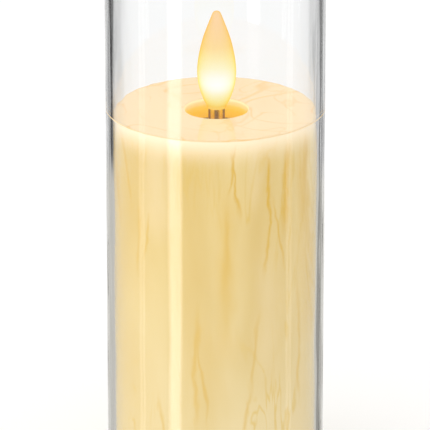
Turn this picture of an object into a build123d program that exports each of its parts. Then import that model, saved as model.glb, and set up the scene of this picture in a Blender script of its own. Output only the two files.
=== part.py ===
from build123d import *
import os
from math import cos, radians, sin

# A slim flameless candle: a real-wax shell inside a clear glass cylinder, with a frosted flame on a brass
# wick tube. A plastic base closes the glass from below and holds two AA cells behind a hinged door, and a
# three-position slide switch. Above the cells a riser carries the circuit board and the black lamp holder.
# Millimetres. Z = 0 is the surface that the candle stands on, and Z is the candle's axis. Front is -Y.

# ---- Driving dimensions -------------------------------------------------------------------------------
GLASS_R = 27.5  # outside of the glass
GLASS_WALL = 2.0
GLASS_TOP = 152.0
WAX_TOP = 100.0
WAX_GAP = 0.2  # between the wax and the glass
WAX_WALL = 4.5
WAX_ROOF = 8.0
WELL_R = 7.85  # the well in the wax around the wick tube
WELL_DEPTH = 4.9
WICK_X = 0.3  # the well, the wick tube and the flame stand a little off the glass's axis
FLAME_LOW = 100.3  # lower end of the flame bulb
FLAME_H = 25.2
FLAME_WALL = 0.85
TUBE_R = 2.15
TUBE_WALL = 0.3
FOOT_H = 1.0  # how far the feet stand out of the base
FLOOR_T = 3.0
SPIGOT_H = 6.0
SEAL_T = 0.6
CELL_R = 7.15
CELL_H = 50.5
CELL_X = 7.75
CELL_Y = 1.5
SWITCH_Y = -15.5
SWITCH_STEP = 2.0  # from one switch position to the next; the rest position is ON, at the +X end

# ---- Worked-out levels and radii ----------------------------------------------------------------------
BORE_R = GLASS_R - GLASS_WALL
BASE_LOW = FOOT_H
FLOOR_TOP = BASE_LOW + FLOOR_T
FLANGE_R = GLASS_R - 0.2
SPIGOT_R = BORE_R - 0.25
SPIGOT_IN_R = SPIGOT_R - 2.0
SPIGOT_TOP = FLOOR_TOP + SPIGOT_H
GLASS_LOW = FLOOR_TOP + SEAL_T
WAX_R = BORE_R - WAX_GAP
WAX_IN_R = WAX_R - WAX_WALL
WAX_LOW = SPIGOT_TOP
CAVITY_TOP = WAX_TOP - WAX_ROOF
WELL_FLOOR = WAX_TOP - WELL_DEPTH

# Battery case and door
CELL_BORE_R = CELL_R + 0.25
CASE_WALL = 1.2
CASE_X = CELL_X + CELL_BORE_R + CASE_WALL
CASE_Y = CELL_BORE_R + CASE_WALL
CONTACT_H = 3.6  # height of the compressed springs and contact leaves
CONTACT_T = 0.3
DOOR_T = 1.6
DOOR_TOP = BASE_LOW + DOOR_T
CONTACT_GAP = 0.15  # between the door's contacts and the cells
CELL_LOW = DOOR_TOP + CONTACT_T + CONTACT_H + CONTACT_GAP
CELL_TOP = CELL_LOW + CELL_H
CASE_ROOF_LOW = CELL_TOP + CONTACT_H + CONTACT_T
CASE_TOP = CASE_ROOF_LOW + 1.5
OPENING_X = CELL_X + CELL_BORE_R + 0.15  # half-length of the hole that the cells pass through
OPENING_Y = CELL_BORE_R + 0.15
REBATE_X = OPENING_X + 1.7  # half-length of the rebate that the door lies in
REBATE_Y = OPENING_Y + 1.65
DOOR_GAP = 0.15
HINGE_SIDE_GAP = 0.9  # extra room for the door's back edge, which swings backwards as it drops
DOOR_LEDGE = DOOR_TOP + 0.1
HINGE_R = 1.2
HINGE_Y = CELL_Y + REBATE_Y + 1.2
HINGE_Z = BASE_LOW + HINGE_R
HINGE_HALF = 6.0
TRUNNION_R = 0.7
TRUNNION_L = 1.4
HINGE_PLAY = 0.06
LATCH_Y = CELL_Y - REBATE_Y + 0.75
LATCH_HALF = 4.0
LATCH_T = 0.9
LATCH_TOP = 5.4

# Lamp holder, board and riser
HOLDER_R = 18.0
HOLDER_T = 2.0
HOLDER_LOW = CAVITY_TOP - HOLDER_T
BOARD_R = 12.0
BOARD_T = 1.2
BOARD_TOP = 84.8
BOARD_LOW = BOARD_TOP - BOARD_T
COLUMN_X = 15.2
COLUMN_W = 4.6
RISER_FOOT_T = 1.6
BOARD_SCREW_X = 8.6
LED_R = 1.5
LED_LEAD_X = (-0.75, 0.75)
LEAD_R = 0.28
LED_SEAT = FLAME_LOW + 2.6
RISER_SCREW_X = 12.1
RISER_SCREW_Y = CELL_Y + 3.6
IR_Y = -8.6
IR_LEADS_X = (-1.27, 0.0, 1.27)
CHIP_Y = 5.6
CHIP_LEADS_X = (-1.9, -0.63, 0.63, 1.9)
RESISTORS = [(-5.4, -3.6), (-5.4, -5.6), (5.4, -1.6), (5.4, 8.4)]
CAPACITOR_X = 6.4
CAPACITOR_Y = -6.2
BATTERY_LEAD_X = 4.2  # where the battery leads are soldered to the board

# Fasteners and feet
SCREW_R = 1.0
SCREW_HOLE_R = 1.05
HEAD_R = 1.9
HEAD_H = 1.3
BASE_SCREWS = [(-17.0, -10.6), (17.0, -10.6), (0.0, 17.6)]
BASE_SCREW_L = 6.5
BOSS_R = 2.7
BOSS_TOP = SPIGOT_TOP - 0.5
FOOT_R = 3.0
FOOT_SINK = 0.6
FEET = [(x, y) for x in (-13.5, 13.5) for y in (-18.5, 18.5)]

# Switch
POCKET_X = 7.4
POCKET_Y = 3.1
POCKET_TOP = BASE_LOW + 1.8
PAD_X = 2.9
PAD_Y = 2.4
STEM_X = 1.3
STEM_Y = 0.9
SLOT_X = STEM_X + SWITCH_STEP + 0.1
SLOT_Y = STEM_Y + 0.1
SWITCH_BODY = (12.0, 5.0, 4.6)
STEM_TOP = FLOOR_TOP + 1.6
KNOB_X = SWITCH_STEP
KNOB_LOW = BASE_LOW + 0.25
KNOB_TOP = POCKET_TOP - 0.2
TERMINALS_X = (-2.5, 0.0, 2.5)
TERMINAL_L = 2.4

# Contacts and wires
SPRING_WIRE_R = 0.32
SPRING_R = 3.2
SPRING_TURNS = 2.5
TAG_X = 0.4  # thickness of the contacts' solder tags
WIRE_R = 0.55
ON_BASE = (Align.CENTER, Align.CENTER, Align.MIN)


# ---- Small building blocks ----------------------------------------------------------------------------
def disc(radius, low, high, x=0.0, y=0.0):
    """An upright cylinder between two levels."""
    return Pos(x, y, low) * Cylinder(radius, high - low, align=ON_BASE)


def ring(outer, inner, low, high, x=0.0):
    """An upright tube between two levels."""
    return disc(outer, low, high, x) - disc(inner, low, high, x)


def block(length, width, low, high, x=0.0, y=0.0):
    """An upright box between two levels."""
    return Pos(x, y, low) * Box(length, width, high - low, align=ON_BASE)


def plate(half_x, half_y, corner, low, high, x=0.0, y=0.0):
    """An upright prism with a rounded-rectangle outline."""
    outline = RectangleRounded(2 * half_x, 2 * half_y, corner)
    return Pos(x, y, low) * extrude(outline, high - low)


def turned(*edges):
    """The solid turned about Z from a closed outline drawn in X and Z."""
    return revolve(Plane.XZ * make_face(Curve() + list(edges)), Axis.Z)


def wire(points, radius, bend):
    """A round wire along straight runs joined by tangent arcs."""
    path = FilletPolyline(*points, radius=bend) if bend else Polyline(*points)
    start = Plane(origin=path @ 0, z_dir=path % 0)
    return sweep(start * Circle(radius), path=path)


def coil(wire_radius, radius, height, turns):
    """A round-wire compression spring standing on Z = 0, as high as stated."""
    rise = height - 2 * wire_radius
    path = Helix(pitch=rise / turns, height=rise, radius=radius)
    start = Plane(origin=path @ 0, z_dir=path % 0)
    return Pos(0, 0, wire_radius) * sweep(start * Circle(wire_radius), path=path, is_frenet=True)


def screw(length):
    """A pan-head tapping screw with a cross recess: its head's seat is at Z = 0, and its shank points up."""
    head = fillet(disc(HEAD_R, -HEAD_H, 0).edges().group_by(Axis.Z)[0], 0.5)
    arm = block(2.2, 0.5, -HEAD_H, -HEAD_H + 0.8)
    point = Pos(0, 0, length) * Cone(SCREW_R, 0.3, 1.2, align=ON_BASE)
    return head + disc(SCREW_R, 0, length) + point - arm - Rot(0, 0, 90) * arm


def hull_arm(start, end, half_width):
    """A flat bar with round ends between two points."""
    return make_hull(
        (Pos(*start) * Circle(half_width)).edges() + (Pos(*end) * Circle(half_width)).edges()
    )


def group(*solids):
    """Separate solids kept in one node."""
    return Compound(children=[s for shape in solids for s in shape.solids()])


# ---- Glass, wax and flame -----------------------------------------------------------------------------
def glass_cylinder():
    glass = ring(GLASS_R, BORE_R, GLASS_LOW, GLASS_TOP)
    levels = glass.edges().group_by(Axis.Z)
    return fillet(levels[-1] + levels[0], 0.45 * GLASS_WALL)


def glass_seal():
    return ring(GLASS_R - 0.3, BORE_R + 0.05, FLOOR_TOP, GLASS_LOW)


def wax_shell():
    body = ring(WAX_R, WAX_IN_R, WAX_LOW, WAX_TOP)
    body += disc(WAX_IN_R + 0.5, CAVITY_TOP, WAX_TOP) - disc(WELL_R, CAVITY_TOP, WAX_TOP, WICK_X)
    rim_edge = body.edges().group_by(Axis.Z)[-1].sort_by(SortBy.RADIUS)[-1]
    body = fillet(rim_edge, 0.8)
    well_edge = body.edges().group_by(Axis.Z)[-1].sort_by(SortBy.RADIUS)[0]
    return fillet(well_edge, 0.5)


def teardrop(neck, belly, top):
    """A solid teardrop: straight up its neck, a spline round its belly, and a small round tip."""
    side = Spline(*belly, tangents=[(0.62, 1), (-0.5, 1)])
    tip = TangentArc((0, top), belly[-1], tangent=(1, 0))
    return turned(Polyline((0, top), (0, FLAME_LOW), *neck, belly[0]), side, tip)


def flame_bulb():
    belly = [(2.62, 0.9), (3.74, 3.3), (4.86, 9.2), (4.24, 14.8), (2.9, 19.6), (0.98, 24.1)]
    outside = [(r, FLAME_LOW + z) for r, z in belly]
    inside = [(r - FLAME_WALL, FLAME_LOW + z) for r, z in belly[1:-1]] + [(0.6, FLAME_LOW + 23.0)]
    lip_r = 2.48
    lip = [(lip_r, FLAME_LOW), (lip_r, FLAME_LOW + 0.8)]
    socket = [(TUBE_R, FLAME_LOW), (TUBE_R, LED_SEAT)]
    top = FLAME_LOW + FLAME_H
    shell = teardrop(lip, outside, top) - teardrop(socket, inside, top - 1.9)
    return Pos(WICK_X, 0, 0) * shell


def wick_tube():
    return ring(TUBE_R, TUBE_R - TUBE_WALL, HOLDER_LOW - 1.0, LED_SEAT, WICK_X)


def flame_led():
    dome_z = LED_SEAT + 3.6
    lens = disc(LED_R, LED_SEAT + 0.8, dome_z, WICK_X) + Pos(WICK_X, 0, dome_z) * Sphere(LED_R)
    return lens + disc(LED_R + 0.4, LED_SEAT, LED_SEAT + 0.8, WICK_X)


def led_leads():
    return group(*[disc(LEAD_R, BOARD_LOW - 0.6, LED_SEAT, WICK_X + x) for x in LED_LEAD_X])


# ---- Lamp holder and circuit board --------------------------------------------------------------------
def lamp_holder():
    holder = disc(HOLDER_R, HOLDER_LOW, CAVITY_TOP) + disc(WELL_R - 0.1, CAVITY_TOP, WELL_FLOOR, WICK_X)
    holder += disc(TUBE_R + 1.4, HOLDER_LOW - 1.4, HOLDER_LOW, WICK_X)
    holder -= disc(TUBE_R, HOLDER_LOW - 1.0, WELL_FLOOR, WICK_X)
    holder -= disc(TUBE_R - TUBE_WALL, HOLDER_LOW - 1.4, HOLDER_LOW - 1.0, WICK_X)
    for x in (-BOARD_SCREW_X, BOARD_SCREW_X):
        holder += disc(2.1, BOARD_TOP, HOLDER_LOW, x=x)
        holder -= disc(SCREW_HOLE_R, BOARD_TOP, HOLDER_LOW + 0.6, x=x)
    for x in (-COLUMN_X, COLUMN_X):
        holder -= disc(SCREW_HOLE_R, HOLDER_LOW, CAVITY_TOP, x=x)
        holder -= disc(HEAD_R + 0.1, CAVITY_TOP - HEAD_H - 0.1, CAVITY_TOP, x=x)
    return holder


def lamp_holder_screws():
    turned_over = Rot(180, 0, 0) * screw(5.0)
    seat = CAVITY_TOP - HEAD_H - 0.1
    return group(*[Pos(x, 0, seat) * turned_over for x in (-COLUMN_X, COLUMN_X)])


def circuit_board():
    board = disc(BOARD_R, BOARD_LOW, BOARD_TOP)
    for x in (-BOARD_SCREW_X, BOARD_SCREW_X):
        board -= disc(SCREW_HOLE_R, BOARD_LOW, BOARD_TOP, x=x)
    for x in LED_LEAD_X:
        board -= disc(LEAD_R + 0.02, BOARD_LOW, BOARD_TOP, WICK_X + x)
    return board


def board_screws():
    return group(*[Pos(x, 0, BOARD_LOW) * screw(4.6) for x in (-BOARD_SCREW_X, BOARD_SCREW_X)])


def ir_receiver():
    """Three-lead infrared receiver standing at the front of the board, with a domed window."""
    depth = 2.6
    body = block(5.0, depth, BOARD_TOP + 0.4, BOARD_TOP + 4.9, y=IR_Y)
    window = Pos(0, IR_Y - depth / 2, BOARD_TOP + 2.9) * Sphere(depth / 2)
    legs = [block(0.45, 0.4, BOARD_TOP, BOARD_TOP + 0.5, x=x, y=IR_Y) for x in IR_LEADS_X]
    return body + window + legs


def control_chip():
    """Eight-lead flat chip under the board."""
    chip = block(5.0, 3.9, BOARD_LOW - 1.65, BOARD_LOW - 0.15, y=CHIP_Y)
    for x in CHIP_LEADS_X:
        for side in (-1, 1):
            chip += block(0.42, 1.1, BOARD_LOW - 0.35, BOARD_LOW, x=x, y=CHIP_Y + side * 2.4)
            chip += block(0.42, 0.3, BOARD_LOW - 0.9, BOARD_LOW, x=x, y=CHIP_Y + side * 2.05)
    return chip


def chip_resistors():
    return group(*[block(2.0, 1.25, BOARD_LOW - 0.5, BOARD_LOW, x=x, y=y) for x, y in RESISTORS])


def filter_capacitor():
    """Small electrolytic can hanging under the board."""
    bung_h = 0.3
    can = disc(2.5, BOARD_LOW - 5.4, BOARD_LOW - bung_h, x=CAPACITOR_X, y=CAPACITOR_Y)
    can = fillet(can.edges().group_by(Axis.Z)[0], 0.4)
    return can + disc(1.9, BOARD_LOW - bung_h, BOARD_LOW, x=CAPACITOR_X, y=CAPACITOR_Y)


def riser_frame():
    """Two columns on a foot frame, from the battery case up to the lamp holder."""
    foot = plate(COLUMN_X + COLUMN_W / 2, 5.2, 1.5, CASE_TOP, CASE_TOP + RISER_FOOT_T, y=CELL_Y)
    foot -= plate(10.6, 3.4, 1.0, CASE_TOP, CASE_TOP + RISER_FOOT_T, y=CELL_Y)
    frame = foot
    for x in (-COLUMN_X, COLUMN_X):
        frame += plate(COLUMN_W / 2, 2.6, 0.5, CASE_TOP + RISER_FOOT_T, HOLDER_LOW, x=x)
        frame -= disc(SCREW_HOLE_R, HOLDER_LOW - 7.0, HOLDER_LOW, x=x)
    for x in (-RISER_SCREW_X, RISER_SCREW_X):
        frame -= disc(SCREW_HOLE_R, CASE_TOP, CASE_TOP + RISER_FOOT_T, x=x, y=RISER_SCREW_Y)
    return frame


# ---- Battery case, cells and contacts -----------------------------------------------------------------
def battery_case():
    case = plate(CASE_X, CASE_Y, CASE_Y - 0.6, FLOOR_TOP, CASE_TOP, y=CELL_Y)
    for x, y in BASE_SCREWS:
        arm_x, arm_y = 0.82 * x, (0.6 * y if x else 0.55 * y)
        arm = hull_arm((arm_x, arm_y), (x, y), 1.6)
        case += extrude(arm, BOSS_TOP - FLOOR_TOP - 2.0).moved(Location((0, 0, FLOOR_TOP)))
        case += disc(BOSS_R, FLOOR_TOP, BOSS_TOP, x=x, y=y)
    for x in (-CELL_X, CELL_X):
        case -= disc(CELL_BORE_R, FLOOR_TOP, CASE_ROOF_LOW, x=x, y=CELL_Y)
        case -= block(1.2, 2.4, CASE_ROOF_LOW, CASE_TOP, x=x, y=CELL_Y)
    case -= block(2 * CELL_X, 6.0, FLOOR_TOP, CASE_ROOF_LOW, y=CELL_Y)
    case -= block(2 * LATCH_HALF + 1.2, 6.0, FLOOR_TOP, LATCH_TOP + 1.6, y=LATCH_Y + 1.8)
    for x, y in BASE_SCREWS:
        case -= disc(SCREW_HOLE_R, FLOOR_TOP, BOSS_TOP - 0.3, x=x, y=y)
    for x in (-RISER_SCREW_X, RISER_SCREW_X):
        case -= disc(SCREW_HOLE_R, CASE_ROOF_LOW, CASE_TOP, x=x, y=RISER_SCREW_Y)
    return case


def riser_screws():
    seat = CASE_TOP + RISER_FOOT_T
    turned_over = Rot(180, 0, 0) * screw(1.4)
    return group(*[Pos(x, RISER_SCREW_Y, seat) * turned_over for x in (-RISER_SCREW_X, RISER_SCREW_X)])


def cell(nub_up):
    """One AA cell, standing on Z = 0."""
    can = disc(CELL_R, 0, CELL_H - 1.2)
    can = fillet(can.edges(), 0.5)
    can += fillet(disc(2.75, CELL_H - 1.3, CELL_H).edges().group_by(Axis.Z)[-1], 0.3)
    return can if nub_up else Pos(0, 0, CELL_H) * Rot(180, 0, 0) * can


def battery_cell_left():
    return Pos(-CELL_X, CELL_Y, CELL_LOW) * cell(nub_up=True)


def battery_cell_right():
    return Pos(CELL_X, CELL_Y, CELL_LOW) * cell(nub_up=False)


def leaf():
    """A bent contact strip standing on Z = 0, springy, as high as the compressed coils."""
    top = CONTACT_H - CONTACT_T / 2
    foot = CONTACT_T / 2
    line = Polyline((-3.4, foot), (-2.6, foot), (-1.1, top), (1.1, top), (2.6, foot), (3.4, foot))
    strip = trace(line, CONTACT_T)
    return Rot(90, 0, 0) * extrude(strip, 2.4, both=True)


def contact_coil():
    return coil(SPRING_WIRE_R, SPRING_R, CONTACT_H, SPRING_TURNS)


def top_contact_plate(x):
    """Flat plate under the case roof, with a solder tag that stands up through the roof's slot."""
    base = block(8.0, 7.0, CASE_ROOF_LOW - CONTACT_T, CASE_ROOF_LOW, x=x, y=CELL_Y)
    tag = block(TAG_X, 2.0, CASE_ROOF_LOW, CASE_TOP + 2.2, x=x, y=CELL_Y)
    return base + tag


def hung(shape, x):
    """A contact turned over and hung under a top contact plate."""
    return Pos(x, CELL_Y, CASE_ROOF_LOW - CONTACT_T) * Rot(180, 0, 0) * shape


def positive_contact():
    return group(top_contact_plate(-CELL_X) + hung(leaf(), -CELL_X))


def negative_contact():
    return top_contact_plate(CELL_X)


def negative_spring():
    return hung(contact_coil(), CELL_X)


def battery_leads(x, board_x):
    """One lead from a contact's solder tag up to the underside of the board."""
    low, high = CASE_TOP + 0.9, BOARD_LOW
    beside_tag = WIRE_R + TAG_X / 2
    solder_x = x - beside_tag if x > 0 else x + beside_tag
    points = [
        (solder_x, CELL_Y, low),
        (solder_x, CELL_Y, low + 7.0),
        (board_x, CELL_Y + 1.5, high - 6.5),
        (board_x, CELL_Y + 1.5, high),
    ]
    return wire(points, WIRE_R, 3.0)


def positive_lead():
    return battery_leads(-CELL_X, -BATTERY_LEAD_X)


def negative_lead():
    return battery_leads(CELL_X, BATTERY_LEAD_X)


# ---- Base, door and switch ----------------------------------------------------------------------------
def base_cup():
    base = disc(FLANGE_R, BASE_LOW, FLOOR_TOP)
    base = fillet(base.edges().group_by(Axis.Z)[0], 0.6)
    base += ring(SPIGOT_R, SPIGOT_IN_R, FLOOR_TOP, SPIGOT_TOP)
    base -= plate(OPENING_X, OPENING_Y, OPENING_Y - 0.4, BASE_LOW, FLOOR_TOP, y=CELL_Y)
    for y in (CELL_Y, CELL_Y + HINGE_SIDE_GAP):
        base -= plate(REBATE_X, REBATE_Y, REBATE_Y - 0.4, BASE_LOW, DOOR_LEDGE, y=y)
    base -= hinge_pocket()
    base -= latch_pocket()
    for x, y in FEET:
        base -= disc(FOOT_R, BASE_LOW, BASE_LOW + FOOT_SINK, x=x, y=y)
    for x, y in BASE_SCREWS:
        base -= disc(HEAD_R + 0.2, BASE_LOW, BASE_LOW + HEAD_H + 0.2, x=x, y=y)
        base -= disc(SCREW_HOLE_R, BASE_LOW, FLOOR_TOP, x=x, y=y)
    base -= plate(POCKET_X, POCKET_Y, 1.2, BASE_LOW, POCKET_TOP, y=SWITCH_Y)
    base -= block(2 * SLOT_X, 2 * SLOT_Y, POCKET_TOP, FLOOR_TOP, y=SWITCH_Y)
    for x in (-SWITCH_STEP, 0.0, SWITCH_STEP):
        base -= block(0.5, 1.0, BASE_LOW, BASE_LOW + 0.3, x=x, y=SWITCH_Y - POCKET_Y - 1.2)
    return base


def along_x(radius, half_length):
    """A cylinder on the door's hinge axis."""
    return Pos(0, HINGE_Y, HINGE_Z) * Rot(0, 90, 0) * Cylinder(radius, 2 * half_length)


def hinge_pocket():
    """Room for the door's barrel, and two blind sockets for its trunnions."""
    half = HINGE_HALF + 0.2
    room_r = HINGE_R + 0.15
    middle = (CELL_Y + REBATE_Y - 1.0 + HINGE_Y) / 2
    depth = 2 * (HINGE_Y - middle)
    pocket = block(2 * half, depth, BASE_LOW, HINGE_Z + room_r, y=middle)
    mouth = room_r + 0.3  # room for the door's underside at a right angle
    pocket += block(2 * half, mouth, BASE_LOW, HINGE_Z, y=HINGE_Y + mouth / 2)
    pocket += along_x(room_r, half)
    return pocket + along_x(TRUNNION_R + HINGE_PLAY, half + TRUNNION_L + 0.2)


def latch_pocket():
    """The notch that the door's snap tongue rises through, and a scoop for a fingernail."""
    notch = block(2 * LATCH_HALF + 0.8, 3.0, BASE_LOW, FLOOR_TOP, y=LATCH_Y + 0.4)
    scoop = Pos(0, CELL_Y - REBATE_Y, BASE_LOW - 1.2) * Rot(0, 90, 0) * Cylinder(2.6, 9.0)
    return notch + scoop


def battery_door():
    half_x, half_y = REBATE_X - DOOR_GAP, REBATE_Y - DOOR_GAP
    door = plate(half_x, half_y, half_y - 0.4, BASE_LOW, DOOR_TOP, y=CELL_Y)
    arm_low = CELL_Y + half_y - 1.0
    door += block(2 * HINGE_HALF, HINGE_Y - arm_low, BASE_LOW, DOOR_TOP, y=(HINGE_Y + arm_low) / 2)
    door += along_x(HINGE_R, HINGE_HALF)
    door += along_x(TRUNNION_R, HINGE_HALF + TRUNNION_L)
    door += block(2 * LATCH_HALF, LATCH_T, DOOR_TOP - 0.6, LATCH_TOP, y=LATCH_Y)
    door += block(2 * LATCH_HALF, 0.25, LATCH_TOP - 1.0, LATCH_TOP - 0.4, y=LATCH_Y - LATCH_T / 2 - 0.1)
    for x in (-2.6, -1.3, 0.0, 1.3, 2.6):
        door -= block(0.6, 3.2, BASE_LOW, BASE_LOW + 0.35, x=x, y=CELL_Y - half_y + 2.8)
    return door


def door_contact_bridge():
    """The strip on the door that joins the two cells, with a leaf under the right-hand one."""
    strip = plate(CELL_X + 4.4, 3.6, 0.8, DOOR_TOP, DOOR_TOP + CONTACT_T, y=CELL_Y)
    raised = Pos(CELL_X, CELL_Y, DOOR_TOP + CONTACT_T) * leaf()
    return strip + raised


def door_spring():
    return Pos(-CELL_X, CELL_Y, DOOR_TOP + CONTACT_T) * contact_coil()


def base_screws():
    seat = BASE_LOW + HEAD_H + 0.2
    return group(*[Pos(x, y, seat) * screw(BASE_SCREW_L - 1.2) for x, y in BASE_SCREWS])


def rubber_feet():
    foot = disc(FOOT_R - 0.05, 0, FOOT_H + FOOT_SINK)
    foot = fillet(foot.edges().group_by(Axis.Z)[0], 0.4)
    return group(*[Pos(x, y, 0) * foot for x, y in FEET])


def switch_body():
    length, width, height = SWITCH_BODY
    body = block(length, width, FLOOR_TOP, FLOOR_TOP + height, y=SWITCH_Y)
    body += block(length + 5.0, 3.0, FLOOR_TOP, FLOOR_TOP + 0.8, y=SWITCH_Y)
    return body - block(2 * SLOT_X, 2 * SLOT_Y, FLOOR_TOP, STEM_TOP + 0.2, y=SWITCH_Y)


def switch_terminals():
    high = FLOOR_TOP + SWITCH_BODY[2]
    return group(*[block(0.5, 0.9, high, high + TERMINAL_L, x=x, y=SWITCH_Y) for x in TERMINALS_X])


def switch_knob():
    pad = plate(PAD_X, PAD_Y, 0.8, KNOB_LOW, KNOB_TOP, x=KNOB_X, y=SWITCH_Y)
    for groove in (-1.6, -0.8, 0.0, 0.8, 1.6):
        pad -= block(0.35, 3.4, KNOB_LOW, KNOB_LOW + 0.3, x=KNOB_X + groove, y=SWITCH_Y)
    return pad + block(2 * STEM_X, 2 * STEM_Y, KNOB_TOP, STEM_TOP, x=KNOB_X, y=SWITCH_Y)


def switch_leads():
    """Three leads from the switch's terminals up the front of the battery case to the board."""
    low = FLOOR_TOP + SWITCH_BODY[2] + TERMINAL_L
    runs = []
    for x in TERMINALS_X:
        points = [
            (x, SWITCH_Y, low),
            (x, SWITCH_Y, low + 6.0),
            (x, -9.2, low + 18.0),
            (x, -9.2, BOARD_LOW - 16.0),
            (x, -6.0, BOARD_LOW - 7.0),
            (x, -6.0, BOARD_LOW),
        ]
        runs.append(wire(points, WIRE_R, 5.0))
    return group(*runs)


PARTS = [
    glass_cylinder,
    glass_seal,
    wax_shell,
    flame_bulb,
    wick_tube,
    flame_led,
    led_leads,
    lamp_holder,
    lamp_holder_screws,
    circuit_board,
    board_screws,
    ir_receiver,
    control_chip,
    chip_resistors,
    filter_capacitor,
    riser_frame,
    riser_screws,
    battery_case,
    battery_cell_left,
    battery_cell_right,
    positive_contact,
    negative_contact,
    negative_spring,
    positive_lead,
    negative_lead,
    base_cup,
    base_screws,
    rubber_feet,
    battery_door,
    door_contact_bridge,
    door_spring,
    switch_body,
    switch_terminals,
    switch_knob,
    switch_leads,
]

os.makedirs("parts", exist_ok=True)
for make in PARTS:
    export_step(make(), f"parts/{make.__name__}.step")
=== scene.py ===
import math

import bpy
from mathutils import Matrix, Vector, noise


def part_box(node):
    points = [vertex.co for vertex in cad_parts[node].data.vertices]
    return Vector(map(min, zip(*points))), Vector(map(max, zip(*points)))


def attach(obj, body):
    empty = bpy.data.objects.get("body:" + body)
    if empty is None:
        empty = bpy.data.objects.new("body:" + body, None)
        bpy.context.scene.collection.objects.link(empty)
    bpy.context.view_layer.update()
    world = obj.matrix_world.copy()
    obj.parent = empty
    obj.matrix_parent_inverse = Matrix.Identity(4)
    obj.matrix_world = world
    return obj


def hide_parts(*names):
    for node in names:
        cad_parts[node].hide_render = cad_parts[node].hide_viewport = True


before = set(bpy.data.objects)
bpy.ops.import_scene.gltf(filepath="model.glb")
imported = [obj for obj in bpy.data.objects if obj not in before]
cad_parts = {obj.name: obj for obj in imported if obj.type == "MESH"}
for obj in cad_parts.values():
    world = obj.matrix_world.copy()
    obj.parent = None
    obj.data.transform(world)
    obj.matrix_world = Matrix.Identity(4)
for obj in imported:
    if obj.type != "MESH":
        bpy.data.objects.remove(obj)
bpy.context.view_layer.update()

MM = 0.001

# ---- Levels and radii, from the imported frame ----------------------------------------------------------
glass_low, glass_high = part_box("glass_cylinder")
wax_low, wax_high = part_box("wax_shell")
bulb_low, bulb_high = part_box("flame_bulb")
tube_low, tube_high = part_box("wick_tube")
holder_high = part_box("lamp_holder")[1]

GLASS_R = glass_high.x
GLASS_WALL = 2.0 * MM
BORE_R = GLASS_R - GLASS_WALL
WAX_TOP = wax_high.z
WAX_WALL = 4.5 * MM
WAX_ROOF = 8.0 * MM
WAX_IN_R = wax_high.x - WAX_WALL
CAVITY_TOP = WAX_TOP - WAX_ROOF
WELL_R = 7.85 * MM
WELL_FLOOR = holder_high.z
WICK_X = (bulb_low.x + bulb_high.x) / 2
FLAME_LOW = bulb_low.z
FLAME_TOP = bulb_high.z
TUBE_R = (tube_high.x - tube_low.x) / 2
TUBE_TOP = tube_high.z


# ---- Node graphs --------------------------------------------------------------------------------------
class Graph:
    """One node tree, with short calls for the nodes that the materials here need."""

    def __init__(self, tree, coords):
        self.tree = tree
        self.coords = tree.nodes.new("ShaderNodeTexCoord").outputs[coords]

    def feed(self, socket, value):
        if isinstance(value, bpy.types.NodeSocket):
            self.tree.links.new(value, socket)
        else:
            socket.default_value = value

    def node(self, kind, settings, *values):
        """A new node with these settings, and its first inputs fed with values or sockets."""
        made = self.tree.nodes.new("ShaderNode" + kind)
        for key, value in settings.items():
            setattr(made, key, value)
        for index, value in enumerate(values):
            self.feed(made.inputs[index], value)
        return made

    def math(self, operation, *values):
        return self.node("Math", {"operation": operation}, *values).outputs[0]

    def add(self, a, b):
        return self.math("ADD", a, b)

    def sub(self, a, b):
        return self.math("SUBTRACT", a, b)

    def mul(self, a, b):
        return self.math("MULTIPLY", a, b)

    def ramp(self, value, low, high, to_low=0.0, to_high=1.0):
        """value eased from one range to another."""
        made = self.node("MapRange", {"interpolation_type": "SMOOTHSTEP"}, value, low, high, to_low, to_high)
        return made.outputs[0]

    def xyz(self):
        return self.node("SeparateXYZ", {}, self.coords).outputs

    def scaled(self, x, y, z, shift=(0, 0, 0)):
        made = self.node("Mapping", {}, self.coords)
        made.inputs["Location"].default_value = shift
        made.inputs["Scale"].default_value = (x, y, z)
        return made.outputs[0]

    def noise(self, scale, detail=2.0, roughness=0.5, distortion=0.0, vector=None):
        made = self.node("TexNoise", {})
        self.feed(made.inputs["Vector"], vector or self.coords)
        made.inputs["Scale"].default_value = scale
        made.inputs["Detail"].default_value = detail
        made.inputs["Roughness"].default_value = roughness
        made.inputs["Distortion"].default_value = distortion
        return made.outputs["Fac"]

    def vein(self, value, centre, width):
        """1 along the line where value passes centre, 0 beyond width."""
        return self.ramp(self.math("ABSOLUTE", self.sub(value, centre)), 0.0, width, 1.0, 0.0)

    def mix(self, factor, a, b, blend="MIX"):
        """Colour a where factor is 0, b where it is 1."""
        made = self.tree.nodes.new("ShaderNodeMix")
        made.data_type = "RGBA"
        made.blend_type = blend
        self.feed(made.inputs[0], factor)
        self.feed(made.inputs[6], rgba(a))
        self.feed(made.inputs[7], rgba(b))
        return made.outputs[2]

    def blend(self, factor, a, b):
        """Number a where factor is 0, b where it is 1."""
        made = self.tree.nodes.new("ShaderNodeMix")
        self.feed(made.inputs[0], factor)
        self.feed(made.inputs[2], a)
        self.feed(made.inputs[3], b)
        return made.outputs[0]

    def stops(self, value, stops):
        """A colour ramp through (place, colour) stops."""
        made = self.node("ValToRGB", {}, value)
        elements = made.color_ramp.elements
        while len(elements) < len(stops):
            elements.new(0.5)
        for element, (place, colour) in zip(elements, stops):
            element.position = place
            element.color = rgba(colour)
        return made.outputs[0]

    def bump(self, height, strength, distance):
        made = self.node("Bump", {})
        made.inputs["Strength"].default_value = strength
        made.inputs["Distance"].default_value = distance
        self.feed(made.inputs["Height"], height)
        return made.outputs[0]


def rgba(colour):
    if isinstance(colour, bpy.types.NodeSocket):
        return colour
    return (*colour, 1.0) if len(colour) == 3 else colour


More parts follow.
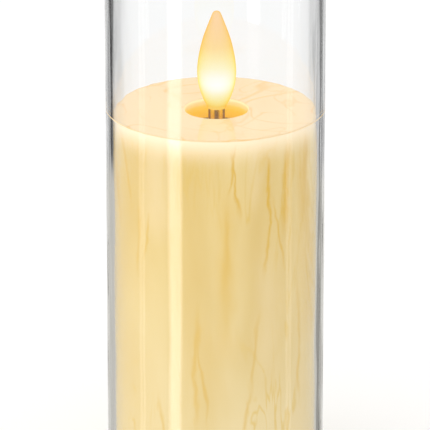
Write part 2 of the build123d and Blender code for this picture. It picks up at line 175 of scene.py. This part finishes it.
def srgb(red, green, blue):
    """A screen colour, 0 to 255, as linear light."""
    parts = [c / 255 for c in (red, green, blue)]
    return tuple(c / 12.92 if c <= 0.04045 else ((c + 0.055) / 1.055) ** 2.4 for c in parts)


def new_material(name):
    """A material, its graph in object coordinates, and its shader's inputs."""
    material = bpy.data.materials.new(name)
    material.use_nodes = True
    graph = Graph(material.node_tree, "Object")
    return material, graph, material.node_tree.nodes["Principled BSDF"].inputs


# ---- Meshes -------------------------------------------------------------------------------------------
def arc(centre_r, centre_z, radius, start, end, steps):
    """Points of a profile's round corner, angles in degrees."""
    angles = [math.radians(start + (end - start) * i / steps) for i in range(steps + 1)]
    return [(centre_r + radius * math.cos(a), centre_z + radius * math.sin(a)) for a in angles]


def run(start, end, steps):
    """Points of a straight stretch of a profile, without its end."""
    return [tuple(a + (b - a) * i / steps for a, b in zip(start, end)) for i in range(steps)]


def lathe(name, profile, segments, centre_x=0.0, warp=None, closed=True):
    """A turned mesh. A closed profile is a ring's section, and an open one starts and ends on the axis."""
    verts, faces, rows = [], [], []
    for r, z in profile:
        if r < 1e-7:
            rows.append([len(verts)] * segments)
            verts.append((centre_x, 0.0, z))
            continue
        rows.append(list(range(len(verts), len(verts) + segments)))
        for i in range(segments):
            angle = 2 * math.pi * i / segments
            radius = r + warp(r, z, angle) if warp else r
            verts.append((centre_x + radius * math.cos(angle), radius * math.sin(angle), z))
    pairs = list(zip(rows, rows[1:])) + ([(rows[-1], rows[0])] if closed else [])
    for low, high in pairs:
        for i in range(segments):
            j = (i + 1) % segments
            corners = dict.fromkeys((low[i], low[j], high[j], high[i]))
            faces.append(tuple(corners))
    mesh = bpy.data.meshes.new(name)
    mesh.from_pydata(verts, [], faces)
    mesh.validate()
    mesh.shade_smooth()
    piece = bpy.data.objects.new(name, mesh)
    bpy.context.scene.collection.objects.link(piece)
    return piece


def finish_piece(piece, material, node):
    """Every replaced node belongs to the candle's own body."""
    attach(piece, "candle")
    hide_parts(node)
    piece.data.materials.append(material)


# ---- Glass --------------------------------------------------------------------------------------------
def glass_material():
    material, g, out = new_material("clear_glass")
    smear = g.noise(90.0, 3.0, 0.55, 0.6)
    g.feed(out["Base Color"], g.mix(g.ramp(smear, 0.35, 0.7), (0.992, 0.998, 0.996), (1.0, 1.0, 1.0)))
    g.feed(out["Roughness"], g.ramp(smear, 0.45, 0.8, 0.0, 0.03))
    out["IOR"].default_value = 1.5
    out["Transmission Weight"].default_value = 1.0
    return material


def draw_waves(r, z, angle):
    """The faint unevenness of drawn glass."""
    place = Vector((3.0 * math.cos(angle), 3.0 * math.sin(angle), z / (45 * MM)))
    return 0.035 * MM * noise.noise(place * 1.3) + 0.012 * MM * noise.noise(place * 3.1)


def make_glass():
    edge = 0.9 * MM
    low, high = glass_low.z, glass_high.z
    profile = run((GLASS_R, low + edge), (GLASS_R, high - edge), 90)
    profile += arc(GLASS_R - edge, high - edge, edge, 0, 90, 8)
    profile += arc(BORE_R + edge, high - edge, edge, 90, 180, 8)[:-1]
    profile += run((BORE_R, high - edge), (BORE_R, low + edge), 90)
    profile += arc(BORE_R + edge, low + edge, edge, 180, 270, 8)
    profile += arc(GLASS_R - edge, low + edge, edge, 270, 360, 8)[:-1]
    glass = lathe("clear_glass_cylinder", profile, 288, warp=draw_waves)
    finish_piece(glass, glass_material(), "glass_cylinder")
    glass.visible_shadow = False
    glass.visible_diffuse = False


# ---- Wax ----------------------------------------------------------------------------------------------
# Spots on the side: azimuth from the front and middle height, half length, lean, half width, depth.
# Angles are in degrees, lean is for each 10 mm up, and heights are in mm.
PALE_SPOTS = [(-33.0, 88, 20, 0.0, 17.0, 0.32), (22.0, 90, 12, 0.0, 6.0, 0.2), (30.0, 52, 24, 0.0, 12.0, 0.2)]
VEINS = [
    (9.0, 93, 9, 3.0, 1.4, 0.85), (10.5, 89, 12, -2.5, 1.3, 0.85), (29.5, 87, 11, -1.5, 1.9, 0.95),
    (30.0, 74, 12, 1.5, 1.8, 0.75), (41.5, 86, 15, 0.5, 3.6, 0.95), (37.0, 74, 12, -4.0, 1.4, 0.7),
    (57.5, 91, 10, 0.0, 3.0, 0.6), (55.5, 86, 18, 0.5, 8.0, 0.6), (73.0, 82, 26, 0.0, 5.0, 0.95),
    (6.0, 71, 15, 0.5, 3.4, 0.4), (6.0, 66, 30, 0.0, 8.0, 0.35), (60.0, 64, 26, 0.0, 12.0, 0.35),
    (-57.0, 91, 14, -5.0, 1.8, 0.65), (-67.0, 87, 16, -3.5, 2.2, 0.7), (-72.0, 86, 16, 0.0, 6.0, 0.4),
    (-47.0, 72, 12, 1.0, 1.7, 0.45), (-40.0, 73, 8, 3.0, 1.3, 0.5), (-10.5, 40, 20, 0.5, 2.2, 0.5),
    (-7.0, 38, 16, -1.5, 1.4, 0.5), (22.0, 43, 14, 2.0, 1.6, 0.4), (52.0, 45, 22, -1.0, 2.0, 0.45),
    (17.0, 24, 14, 1.5, 1.8, 0.45), (-30.0, 22, 12, -2.0, 1.6, 0.4), (88.0, 80, 18, 1.0, 2.0, 0.6),
    (112.0, 60, 24, -2.0, 1.8, 0.6), (131.0, 88, 14, 2.5, 1.6, 0.7), (142.0, 80, 20, 0.0, 8.0, 0.5),
    (156.0, 52, 20, -1.5, 2.0, 0.6), (176.0, 84, 16, 1.5, 1.7, 0.7), (-160.0, 40, 18, 2.0, 1.8, 0.5),
    (-139.0, 86, 14, -2.5, 1.6, 0.7), (-128.0, 70, 24, 0.0, 9.0, 0.4), (-118.0, 66, 22, 1.0, 2.0, 0.6),
    (-92.0, 84, 16, -1.5, 1.9, 0.6),
]


def spot_on_side(g, side, azimuth, z, spot, colour):
    """The side with one upright spot of colour, strongest in its middle."""
    degrees, middle, reach, lean, width, depth = spot
    height = g.sub(z, middle * MM)
    place = g.add(math.radians(degrees), g.mul(height, math.radians(lean) / (10 * MM)))
    across = g.vein(azimuth, place, math.radians(width))
    along = g.ramp(g.math("ABSOLUTE", height), 0.3 * reach * MM, reach * MM, 1.0, 0.0)
    return g.mix(g.mul(g.mul(across, along), depth), side, colour)


def wax_side(g, x, y, z):
    """The side's colour: soft tan clouds, upright veins that fork and fade, and a painted pale glow just
    under the top edge, for the lamp's light through the wax.
    """
    clouds = g.noise(30.0, 3.0, 0.5, 0.6, g.scaled(1.0, 1.0, 0.3))
    tan = g.mix(g.ramp(clouds, 0.35, 0.68), srgb(216, 183, 102), srgb(230, 204, 136))
    pale = g.mix(g.ramp(clouds, 0.35, 0.68), srgb(220, 192, 124), srgb(230, 209, 156))
    side = g.mix(g.ramp(z, 15 * MM, 85 * MM, 1.0, 0.0), tan, pale)

    # Fine marbling
    streaks = g.noise(120.0, 3.0, 0.55, 1.2, g.scaled(1.0, 1.0, 0.14))
    patches = g.noise(34.0, 1.0, 0.5, 0.3, g.scaled(1.0, 1.0, 0.4, (0.7, 0.2, 0.1)))
    marbling = g.mul(g.vein(streaks, 0.5, 0.03), g.ramp(patches, 0.45, 0.62))
    side = g.mix(g.mul(marbling, 0.6), side, srgb(218, 180, 70))

    # Single spots and veins
    azimuth = g.math("ARCTAN2", x, g.mul(y, -1.0))
    wander = g.mul(g.sub(g.noise(170.0, 3.0, 0.6, 0.4, g.scaled(1.0, 1.0, 0.5)), 0.5), math.radians(9.0))
    azimuth = g.add(azimuth, wander)
    for spot in PALE_SPOTS:
        side = spot_on_side(g, side, azimuth, z, spot, srgb(244, 226, 188))
    for spot in VEINS:
        side = spot_on_side(g, side, azimuth, z, spot, srgb(216, 170, 30))

    # Painted glow: the side pales towards the top, standing in for the lamp's light through the wax
    glow = g.math("POWER", g.ramp(z, WAX_TOP - 9.0 * MM, WAX_TOP + 2.0 * MM), 1.6)
    return g.mix(glow, side, srgb(252, 234, 206))


def wax_material():
    """Marbled wax, cream on top, with the lamp's light painted in: an amber glow in the well and a glow from
    inside.
    """
    material, g, out = new_material("marbled_wax")
    x, y, z = g.xyz()
    radius = g.math("SQRT", g.add(g.mul(x, x), g.mul(y, y)))
    from_wick = g.sub(x, WICK_X)
    well_radius = g.math("SQRT", g.add(g.mul(from_wick, from_wick), g.mul(y, y)))
    side = wax_side(g, x, y, z)

    # The top: cream, with faint orange swirls
    swirl = g.noise(30.0, 1.5, 0.45, 1.2, g.scaled(1.0, 1.0, 0.2))
    fine = g.noise(60.0, 1.5, 0.45, 0.9, g.scaled(1.0, 1.0, 0.2, (0.4, 0.2, 0.0)))
    lines = g.math("MAXIMUM", g.vein(swirl, 0.5, 0.018), g.mul(g.vein(fine, 0.47, 0.018), 0.7))
    cream = g.mix(g.ramp(g.noise(24.0, 1.0, 0.4), 0.3, 0.7), srgb(228, 197, 146), srgb(233, 205, 160))
    top = g.mix(g.mul(lines, 0.55), cream, srgb(232, 174, 84))
    near_top = g.ramp(z, WAX_TOP - 0.5 * MM, WAX_TOP - 0.1 * MM)
    colour = g.mix(near_top, side, top)

    # The well: a painted amber glow of the flame below, the wax's cream at its lip
    in_well = g.mul(g.ramp(well_radius, WELL_R + 0.05 * MM, WELL_R + 0.55 * MM, 1.0, 0.0),
                    g.ramp(z, WAX_TOP - 7 * MM, WAX_TOP - 6 * MM))
    depth = g.ramp(z, WELL_FLOOR - 1.0 * MM, WAX_TOP + 0.3 * MM)
    well = g.stops(depth, [(0.0, srgb(214, 158, 10)), (0.45, srgb(238, 190, 36)), (0.75, srgb(248, 210, 110)),
                           (1.0, srgb(244, 220, 176))])
    g.feed(out["Base Color"], g.mix(in_well, colour, well))

    # Painted glow of the lamp inside the wax, as emission, with a painted shade where the top meets the glass
    glow = g.ramp(z, WAX_TOP - 14.0 * MM, WAX_TOP + 0.6 * MM)
    # Painted shade: the emission dims a little at the top's outer edge, next to the glass
    edge_painted_shade = g.mul(g.ramp(z, WAX_TOP - 0.4 * MM, WAX_TOP), g.ramp(radius, BORE_R - 0.9 * MM, BORE_R - 0.2 * MM))
    amber = g.stops(depth, [(0.0, srgb(250, 182, 0)), (0.7, srgb(252, 204, 50)), (1.0, srgb(255, 236, 190))])
    g.feed(out["Emission Color"], g.mix(in_well, srgb(253, 230, 180), amber))
    strength = g.add(g.mul(g.math("POWER", glow, 3.0), 0.14), g.mul(in_well, g.blend(depth, 0.66, 0.26)))
    g.feed(out["Emission Strength"], g.sub(strength, g.mul(edge_painted_shade, 0.05)))

    polish = g.noise(420.0, 3.0, 0.6)
    g.feed(out["Roughness"], g.ramp(polish, 0.3, 0.75, 0.24, 0.34))
    out["Specular IOR Level"].default_value = 0.0
    out["Coat Weight"].default_value = 0.8
    out["Coat Roughness"].default_value = 0.03
    out["Coat IOR"].default_value = 1.44
    g.feed(out["Normal"], g.bump(g.noise(20.0, 1.0, 0.4, 0.3), 0.05, 0.2 * MM))
    return material


def wax_contact(r, z, angle):
    """How far the wax's side stands out to the glass, or shrinks back from it."""
    if r < WAX_IN_R + 1.0 * MM or z > WAX_TOP - 1.0 * MM:
        return 0.0
    place = Vector((2.2 * math.cos(angle), 2.2 * math.sin(angle), z / (34 * MM)))
    waves = noise.noise(place * 1.1) + 0.5 * noise.noise(place * 2.6)
    return 0.05 * MM * max(-1.0, min(0.9, 2.4 * waves))


def make_wax():
    top, side = WAX_TOP, BORE_R - 0.08 * MM
    touch = BORE_R + 0.03 * MM
    edge, lip = 0.08 * MM, 0.6 * MM
    profile = run((side, wax_low.z), (side, top - 0.7 * MM), 150)
    profile += run((side, top - 0.7 * MM), (touch, top - 0.25 * MM), 4)
    profile += run((touch, top - 0.25 * MM), (touch, top - edge), 2)
    profile += arc(touch - edge, top - edge, edge, 0, 90, 4)
    profile += run((touch - 0.6 * MM, top), (WELL_R + lip, top), 40)
    profile += arc(WELL_R + lip, top - lip, lip, 90, 180, 8)
    profile += run((WELL_R, top - 0.7 * MM), (WELL_R, CAVITY_TOP), 10)
    profile += run((WELL_R, CAVITY_TOP), (WAX_IN_R, CAVITY_TOP), 6)
    profile += run((WAX_IN_R, CAVITY_TOP), (WAX_IN_R, wax_low.z), 40)
    profile += run((WAX_IN_R, wax_low.z), (side, wax_low.z), 4)
    wax = lathe("marbled_wax_shell", profile, 320, warp=wax_contact)

    # The well stands off the axis with the wick, and the top has a faint ripple
    moved_r, rippled_r, fading = 12.0 * MM, BORE_R - 1.0 * MM, 3.0 * MM
    for vertex in wax.data.vertices:
        ring = math.hypot(vertex.co.x, vertex.co.y)
        if ring < moved_r:
            vertex.co.x += WICK_X * min(1.0, (moved_r - ring) / fading)
        if vertex.co.z > top - 0.05 * MM and ring < rippled_r:
            ripple = noise.noise(Vector((vertex.co.x, vertex.co.y, 0.0)) * 70.0)
            vertex.co.z += 0.03 * MM * ripple * min(1.0, (rippled_r - ring) / fading)
    finish_piece(wax, wax_material(), "wax_shell")


# ---- Flame --------------------------------------------------------------------------------------------
def flame_material():
    """Frosted plastic lit from inside. Its amber coat is seen through a longer way towards the outline."""
    material, g, out = new_material("frosted_flame")
    coat = (0.99, 0.90, 0.48)
    along = g.math("DIVIDE", g.sub(g.xyz()[2], FLAME_LOW), FLAME_TOP - FLAME_LOW)
    mottle = g.noise(700.0, 3.0, 0.6)
    seen = [
        (0.0, (249, 200, 84)), (0.02, (251, 208, 92)), (0.06, (252, 226, 130)), (0.11, (252, 239, 172)),
        (0.17, (254, 249, 214)), (0.23, (258, 258, 254)), (0.29, (264, 264, 264)), (0.36, (257, 257, 250)),
        (0.455, (254, 248, 208)), (0.56, (254, 236, 174)), (0.66, (254, 220, 150)), (0.76, (253, 215, 152)),
        (0.88, (253, 213, 157)), (1.0, (253, 213, 162)),
    ]
    stops = [(place, tuple(c / t for c, t in zip(srgb(*colour), coat))) for place, colour in seen]
    g.feed(out["Emission Color"], g.stops(g.add(along, g.mul(g.sub(mottle, 0.5), 0.02)), stops))
    out["Emission Strength"].default_value = 0.96
    out["Coat Weight"].default_value = 1.0
    out["Coat IOR"].default_value = 1.02
    out["Coat Roughness"].default_value = 0.3
    out["Coat Tint"].default_value = rgba(coat)
    g.feed(out["Base Color"], g.mix(mottle, srgb(44, 30, 12), srgb(56, 38, 16)))
    out["Specular IOR Level"].default_value = 0.25
    frost = g.noise(2600.0, 3.0, 0.6)
    g.feed(out["Roughness"], g.ramp(frost, 0.3, 0.7, 0.35, 0.55))
    g.feed(out["Normal"], g.bump(frost, 0.2, 0.05 * MM))
    return material


def bulb_side(points, steps):
    """A smooth line through a few points of the bulb's side."""
    line = []
    last = len(points) - 1
    for i in range(last):
        before, here = points[max(i - 1, 0)], points[i]
        there, after = points[i + 1], points[min(i + 2, last)]
        for step in range(steps):
            t = step / steps
            spot = []
            for a, b, c, d in zip(before, here, there, after):
                bend = (2 * a - 5 * b + 4 * c - d) * t + (3 * b - 3 * c + d - a) * t * t + (c - a)
                spot.append(b + 0.5 * bend * t)
            line.append(tuple(spot))
    return line + [points[-1]]


def make_flame():
    belly = [(2.56, 0.8), (3.05, 1.67), (3.85, 3.7), (4.56, 6.3), (4.86, 9.2), (4.69, 12.0), (4.24, 14.75),
             (3.5, 17.9), (2.46, 20.9), (1.07, 24.5)]
    side = [(r * MM, FLAME_LOW + z * MM) for r, z in belly]
    foot_r, edge = 2.5 * MM, 0.12 * MM
    profile = [(0.0, FLAME_LOW), (TUBE_R, FLAME_LOW)]
    profile += arc(foot_r - edge, FLAME_LOW + edge, edge, -90, 0, 4)
    profile += [(foot_r, FLAME_LOW + 0.6 * MM), (foot_r + 0.04 * MM, FLAME_LOW + 0.8 * MM)]
    profile += bulb_side(side, 6)
    tip_r = 1.18 * MM
    tip_z = FLAME_TOP - tip_r
    profile += arc(0.0, tip_z, tip_r, 30, 90, 8)[:-1] + [(0.0, FLAME_TOP)]
    flame = lathe("frosted_flame_bulb", profile, 96, centre_x=WICK_X, closed=False)
    finish_piece(flame, flame_material(), "flame_bulb")


# ---- Brass tube ---------------------------------------------------------------------------------------
def metal_material(name, colour, dark, roughness, scale=(1.0, 1.0, 1.0)):
    """Worked metal: fine drawn lines, light scuffs and a little tarnish."""
    material, g, out = new_material(name)
    lines = g.noise(900.0, 3.0, 0.6, 0.0, g.scaled(*scale))
    tarnish = g.noise(260.0, 3.0, 0.6, 0.5)
    g.feed(out["Base Color"], g.mix(g.ramp(tarnish, 0.4, 0.75, 0.0, 0.6), colour, dark))
    g.feed(out["Roughness"], g.ramp(lines, 0.25, 0.8, roughness * 0.7, roughness * 1.5))
    out["Metallic"].default_value = 1.0
    g.feed(out["Normal"], g.bump(lines, 0.15, 0.02 * MM))
    return material


def brass_material():
    """Drawn brass tube: fine lines and a darker foot, with painted highlights, flattish bright stripes along
    it set by the angle round the tube in place of reflections.
    """
    material, g, out = new_material("brass")
    x, y, z = g.xyz()
    azimuth = g.math("ARCTAN2", g.sub(x, WICK_X), g.mul(y, -1.0))
    lines = g.noise(1500.0, 2.0, 0.6, 0.0, g.scaled(1.0, 1.0, 0.02))
    # Painted highlights: six bright stripes by angle round the tube stand in for its reflections of the lit
    # well
    painted_highlight_bands = g.math("COSINE", g.add(g.mul(azimuth, 6.0), g.mul(g.sub(lines, 0.5), 1.2)))
    metal = g.mix(g.ramp(painted_highlight_bands, -1.0, 0.9, 1.0, 0.0), srgb(140, 118, 12), srgb(250, 232, 76))
    g.feed(out["Base Color"], g.mix(g.ramp(z, WELL_FLOOR, TUBE_TOP, 0.3, 0.0), metal, srgb(120, 96, 50)))
    out["Metallic"].default_value = 1.0
    g.feed(out["Roughness"], g.ramp(lines, 0.25, 0.8, 0.16, 0.3))
    g.feed(out["Normal"], g.bump(lines, 0.15, 0.02 * MM))
    return material


def make_tube():
    bore = TUBE_R - 0.3 * MM
    low, high = tube_low.z, tube_high.z
    profile = run((TUBE_R, low), (TUBE_R, high - 0.1 * MM), 30)
    profile += [(TUBE_R - 0.05 * MM, high), (bore + 0.05 * MM, high)]
    profile += run((bore, high - 0.1 * MM), (bore, low), 4) + [(bore, low)]
    tube = lathe("brass_wick_tube", profile, 96, centre_x=WICK_X)
    finish_piece(tube, brass_material(), "wick_tube")


# ---- Finishes of the CAD nodes ------------------------------------------------------------------------
def plastic_material(name, colour, shade, roughness, grain=900.0, strength=0.12):
    """Moulded plastic: fine spark texture, faint flow marks and a slight change of tone."""
    material, g, out = new_material(name)
    spark = g.noise(grain, 3.0, 0.6)
    flow = g.noise(60.0, 3.0, 0.5, 1.0)
    g.feed(out["Base Color"], g.mix(g.ramp(flow, 0.3, 0.75), colour, shade))
    g.feed(out["Roughness"], g.ramp(spark, 0.3, 0.7, roughness * 0.85, roughness * 1.15))
    g.feed(out["Normal"], g.bump(spark, strength, 0.05 * MM))
    return material


def board_material():
    """Green solder mask over a glass weave, with paler tracks under it."""
    material, g, out = new_material("board_green")
    x, y = g.xyz()[:2]
    tracks = g.vein(g.noise(210.0, 0.0), 0.5, 0.018)
    threads = 6000.0
    weave = g.mul(g.math("SINE", g.mul(x, threads)), g.math("SINE", g.mul(y, threads)))
    mask = g.mix(g.ramp(weave, -1.0, 1.0), srgb(12, 78, 38), srgb(18, 92, 46))
    g.feed(out["Base Color"], g.mix(tracks, mask, srgb(58, 142, 70)))
    g.feed(out["Roughness"], g.ramp(tracks, 0.0, 1.0, 0.32, 0.22))
    g.feed(out["Normal"], g.bump(tracks, 0.4, 0.03 * MM))
    return material


def cell_material(name, plus_up):
    """A cell's printed film in two plain colours, with bare steel at its ends."""
    material, g, out = new_material(name)
    low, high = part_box(name)
    along = g.math("DIVIDE", g.sub(g.xyz()[2], low.z), high.z - low.z)
    if not plus_up:
        along = g.sub(1.0, along)
    film = g.noise(500.0, 2.0, 0.5)
    copper_from, copper_to = 0.735, 0.745
    dark = g.mix(film, srgb(22, 22, 26), srgb(34, 34, 38))
    copper = g.mix(film, srgb(176, 108, 54), srgb(204, 134, 72))
    jacket = g.mix(g.ramp(along, copper_from, copper_to), dark, copper)
    ends = g.math("MAXIMUM", g.ramp(along, 0.965, 0.97), g.ramp(along, 0.012, 0.016, 1.0, 0.0))
    g.feed(out["Base Color"], g.mix(ends, jacket, srgb(200, 200, 200)))
    g.feed(out["Metallic"], g.math("MAXIMUM", ends, g.ramp(along, copper_from, copper_to, 0.0, 0.7)))
    g.feed(out["Roughness"], g.ramp(film, 0.3, 0.7, 0.22, 0.34))
    return material


def wire_material(name, colour, shade):
    """Soft wire insulation, with a slight change of tone and gloss."""
    material, g, out = new_material(name)
    waves = g.noise(300.0, 2.0, 0.5, 0.4)
    g.feed(out["Base Color"], g.mix(g.ramp(waves, 0.3, 0.7), colour, shade))
    g.feed(out["Roughness"], g.ramp(waves, 0.3, 0.7, 0.32, 0.45))
    return material


def dress_cad_nodes():
    steel = metal_material("zinc_screws", srgb(206, 207, 206), srgb(150, 150, 148), 0.3)
    nickel = metal_material("nickel_contacts", srgb(214, 212, 204), srgb(160, 156, 144), 0.22)
    spring = metal_material("spring_wire", srgb(196, 196, 194), srgb(130, 130, 128), 0.28)
    tin = metal_material("tinned_leads", srgb(200, 200, 198), srgb(150, 150, 150), 0.35)
    ivory = plastic_material("ivory_plastic", srgb(236, 228, 206), srgb(229, 219, 194), 0.42)
    black = plastic_material("black_plastic", srgb(24, 23, 22), srgb(34, 32, 30), 0.45)
    knob = plastic_material("knob_plastic", srgb(30, 29, 28), srgb(42, 40, 38), 0.38, 1400.0)
    foot = plastic_material("foot_rubber", srgb(70, 68, 66), srgb(86, 84, 80), 0.75, 2200.0, 0.3)
    seal = plastic_material("seal_rubber", srgb(222, 218, 206), srgb(206, 200, 186), 0.6, 1800.0, 0.2)
    epoxy = plastic_material("ir_epoxy", srgb(14, 10, 14), srgb(26, 16, 22), 0.12, 300.0, 0.03)
    chip = plastic_material("chip_black", srgb(28, 28, 30), srgb(40, 40, 42), 0.5, 2600.0, 0.3)
    ceramic = plastic_material("chip_ceramic", srgb(58, 58, 64), srgb(82, 80, 84), 0.3, 2000.0)
    can = metal_material("capacitor_can", srgb(206, 208, 214), srgb(160, 162, 170), 0.3, (1.0, 1.0, 0.05))
    led = plastic_material("led_epoxy", srgb(255, 238, 196), srgb(255, 246, 220), 0.1, 300.0, 0.02)
    finishes = {
        "glass_seal": seal,
        "flame_led": led,
        "led_leads": tin,
        "lamp_holder": black,
        "lamp_holder_screws": steel,
        "circuit_board": board_material(),
        "board_screws": steel,
        "ir_receiver": epoxy,
        "control_chip": chip,
        "chip_resistors": ceramic,
        "filter_capacitor": can,
        "riser_frame": ivory,
        "riser_screws": steel,
        "battery_case": ivory,
        "battery_cell_left": cell_material("battery_cell_left", True),
        "battery_cell_right": cell_material("battery_cell_right", False),
        "positive_contact": nickel,
        "negative_contact": nickel,
        "negative_spring": spring,
        "positive_lead": wire_material("red_pvc", srgb(186, 26, 20), srgb(164, 18, 16)),
        "negative_lead": wire_material("black_pvc", srgb(26, 26, 28), srgb(36, 36, 38)),
        "base_cup": ivory,
        "base_screws": steel,
        "rubber_feet": foot,
        "battery_door": ivory,
        "door_contact_bridge": nickel,
        "door_spring": spring,
        "switch_body": black,
        "switch_terminals": tin,
        "switch_knob": knob,
        "switch_leads": wire_material("white_pvc", srgb(228, 226, 220), srgb(212, 210, 204)),
    }
    for name, material in finishes.items():
        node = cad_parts[name]
        node.data.materials.clear()
        node.data.materials.append(material)


# ---- Stage, light and camera --------------------------------------------------------------------------
def make_floor():
    """A pale floor that hides nothing from below, and that the candle doesn't mirror."""
    mesh = bpy.data.meshes.new("stage_floor")
    half = 6.0
    corners = [(-half, -half, 0), (half, -half, 0), (half, half, 0), (-half, half, 0)]
    mesh.from_pydata(corners, [], [(0, 1, 2, 3)])
    floor = bpy.data.objects.new("stage_floor", mesh)
    bpy.context.scene.collection.objects.link(floor)
    material, g, out = new_material("pale_floor")
    g.feed(out["Base Color"], g.mix(g.noise(3.0), (0.90, 0.90, 0.90), (0.93, 0.93, 0.93)))
    out["Roughness"].default_value = 0.9
    out["Specular IOR Level"].default_value = 0.0
    tree = material.node_tree
    seen = tree.nodes.new("ShaderNodeMixShader")
    tree.links.new(tree.nodes.new("ShaderNodeNewGeometry").outputs["Backfacing"], seen.inputs[0])
    tree.links.new(tree.nodes["Principled BSDF"].outputs[0], seen.inputs[1])
    tree.links.new(tree.nodes.new("ShaderNodeBsdfTransparent").outputs[0], seen.inputs[2])
    tree.links.new(seen.outputs[0], tree.nodes["Material Output"].inputs["Surface"])
    mesh.materials.append(material)
    floor.visible_diffuse = False
    floor.visible_glossy = False
    floor.visible_transmission = False


def band(g, azimuth, middle, half, soft):
    """1 inside a stretch of azimuth, 0 outside it."""
    away = g.math("ABSOLUTE", g.sub(azimuth, math.radians(middle)))
    return g.ramp(away, math.radians(half), math.radians(half + soft), 1.0, 0.0)


# How bright the studio is at each angle from straight behind the candle: a white background, grey beside it,
# and pale walls round to the camera
ROOM = [
    (0, 0.97), (6, 0.96), (10, 0.87), (13, 0.76), (17, 0.62), (21, 0.54), (25, 0.54), (38, 0.60), (45, 0.68),
    (60, 0.80), (90, 0.95), (180, 0.95),
]
# Tall strip lights in front: azimuth, half width, soft edge, and brightness over the walls
STRIPS = [(-136, 5.5, 2.5, 2.1), (-94.5, 1.4, 1.0, 0.9), (94, 1.4, 1.0, 0.8)]
# Black boards behind: azimuth, half width, soft edge, and how much of the light they take above and below
# the table's line
BOARDS = [
    (-35, 4.5, 3.5, 0.97, 0.1), (30, 2.2, 2.8, 0.97, 0.75), (-21.5, 1.0, 2.0, 0.4, 0.2),
    (19, 1.0, 2.0, 0.5, 0.3),
]
# The table's edge, as the z of a direction: the table lies below it
TABLE_LINE = (-0.334, -0.324)


def make_world():
    """A white studio tent, which lights softly and evenly, and which glass and wax mirror."""
    world = bpy.data.worlds.new("studio")
    bpy.context.scene.world = world
    world.use_nodes = True
    tree = world.node_tree
    g = Graph(tree, "Generated")
    x, y, z = g.xyz()
    azimuth = g.math("ARCTAN2", x, y)
    path = tree.nodes.new("ShaderNodeLightPath").outputs

    room = g.stops(g.mul(g.math("ABSOLUTE", azimuth), 1 / math.pi), [(a / 180, (v, v, v)) for a, v in ROOM])
    for middle, half, soft_edge, power in STRIPS:
        room = g.mix(1.0, room, g.mul(band(g, azimuth, middle, half, soft_edge), power), "ADD")
    over_table = g.ramp(z, *TABLE_LINE)
    for middle, half, soft_edge, above, below in BOARDS:
        shade = g.mul(band(g, azimuth, middle, half, soft_edge), g.blend(over_table, below, above))
        room = g.mix(shade, room, (0.01, 0.01, 0.01))
    # The table behind picks up the candle's warm light
    warm = g.mul(g.sub(1.0, over_table), g.ramp(g.math("ABSOLUTE", azimuth), 0.1, 0.25))
    room = g.mix(warm, room, (1.0, 0.975, 0.90), "MULTIPLY")
    soft = g.add(g.add(1.13, g.mul(x, -0.26)), g.mul(z, 0.05))

    light = g.mix(path["Is Glossy Ray"], soft, room)
    light = g.mix(path["Is Transmission Ray"], light, room)
    light = g.mix(path["Is Camera Ray"], light, (1.0, 1.0, 1.0))
    background = tree.nodes["Background"]
    tree.links.new(light, background.inputs["Color"])
    world.cycles.sampling_method = "NONE"


def make_camera():
    """Long lens, looking down at the upper part of the candle."""
    pitch = math.radians(19.81)
    distance = 1.156
    aim = Vector((-0.0001, 0.0, 0.0714))
    data = bpy.data.cameras.new("camera")
    data.lens = 383.9
    data.sensor_width = 36.0
    data.clip_start = 0.05
    data.clip_end = 30.0
    camera = bpy.data.objects.new("camera", data)
    bpy.context.scene.collection.objects.link(camera)
    camera.location = aim + distance * Vector((0.0, -math.cos(pitch), math.sin(pitch)))
    camera.rotation_euler = (math.pi / 2 - pitch, 0.0, 0.0)
    bpy.context.scene.camera = camera


def set_look():
    scene = bpy.context.scene
    scene.view_settings.view_transform = "Standard"
    scene.view_settings.look = "None"
    scene.cycles.use_denoising = True
    scene.cycles.max_bounces = 16
    scene.cycles.transmission_bounces = 14
    scene.cycles.glossy_bounces = 8
    scene.cycles.diffuse_bounces = 4


make_camera()
make_world()
make_floor()
make_glass()
make_wax()
make_flame()
make_tube()
dress_cad_nodes()
set_look()
